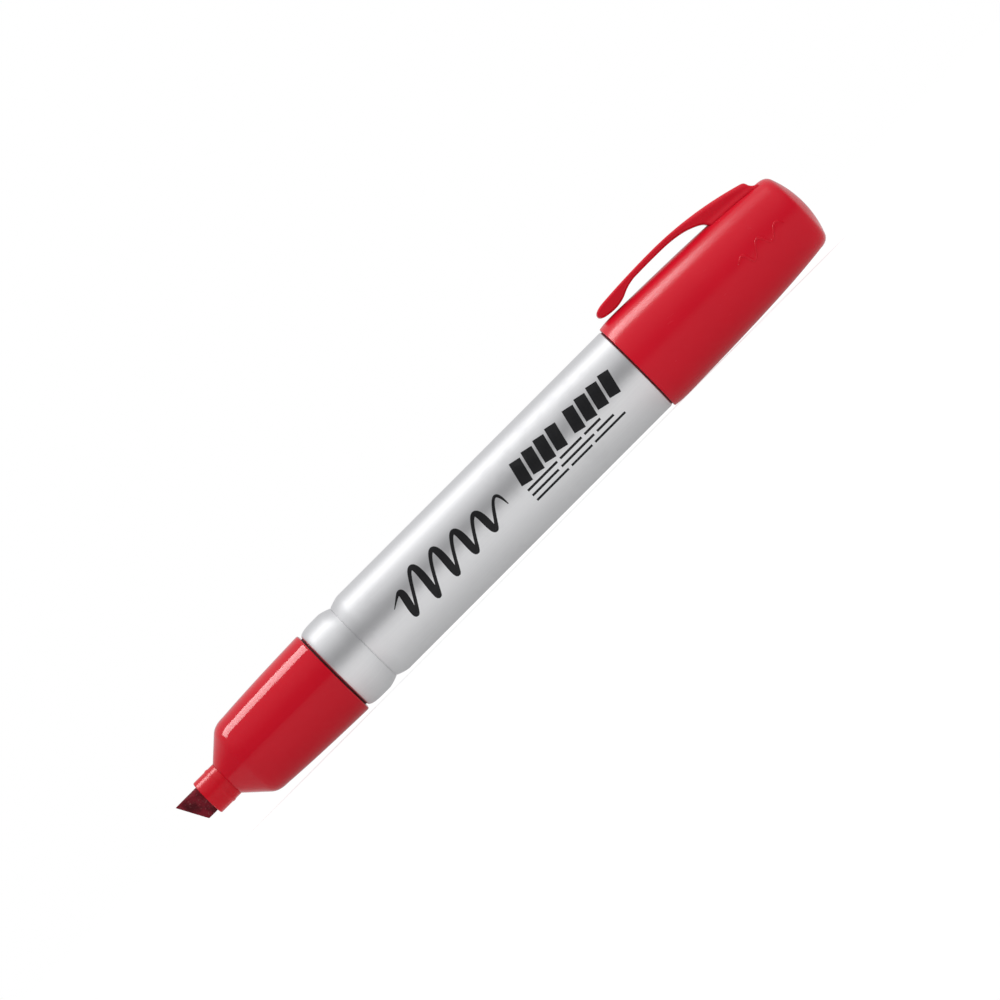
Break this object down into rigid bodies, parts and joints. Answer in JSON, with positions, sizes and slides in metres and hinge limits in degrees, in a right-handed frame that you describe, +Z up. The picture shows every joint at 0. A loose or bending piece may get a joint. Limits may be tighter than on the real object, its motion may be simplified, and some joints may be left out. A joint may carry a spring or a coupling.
{
  "type": "felt tip marker",
  "caption": "Large felt tip marker with chisel nib, metal barrel and a posted push-on cap with pocket clip, lying on its side.",
  "frame": {"origin": "on the marker's axis, at the middle of the straight bare barrel", "axes": "+X along the marker's axis from the nib to the cap; +Z up as it lies level on its side with the clip uppermost"},
  "size_m": [0.1571, 0.0198, 0.023],
  "materials": {
    "barrel_metal": "satin",
    "nose_plastic": "gloss",
    "seal_rubber": "matte",
    "ferrule_plastic": "gloss",
    "nib_felt": "matte",
    "wad_fibre": "matte",
    "wad_film": "satin",
    "vent_plastic": "satin",
    "cap_plastic": "gloss",
    "cup_plastic": "satin",
    "clip_plastic": "gloss"
  },
  "bodies": {
    "barrel": {"barrel_tube": "barrel_metal", "nose_collar": "nose_plastic", "seal_ring": "seal_rubber", "nib_ferrule": "ferrule_plastic", "nib": "nib_felt", "ink_reservoir": "wad_fibre", "reservoir_sheath": "wad_film", "breather_tube": "vent_plastic"},
    "cap": {"cap_shell": "cap_plastic", "cap_inner_cup": "cup_plastic"},
    "clip": {"pocket_clip": "clip_plastic"}
  },
  "joints": [
    {"name": "cap_pull", "type": "slide", "parent": "barrel", "child": "cap", "axis": [1, 0, 0], "range_m": [0, 0.045]},
    {"name": "clip_flex", "type": "hinge", "parent": "cap", "child": "clip", "pos_m": [0.057, 0, 0.012], "axis": [0, 1, 0], "range_deg": [0, 6], "stiffness_Nm_per_rad": 0.3}
  ]
}
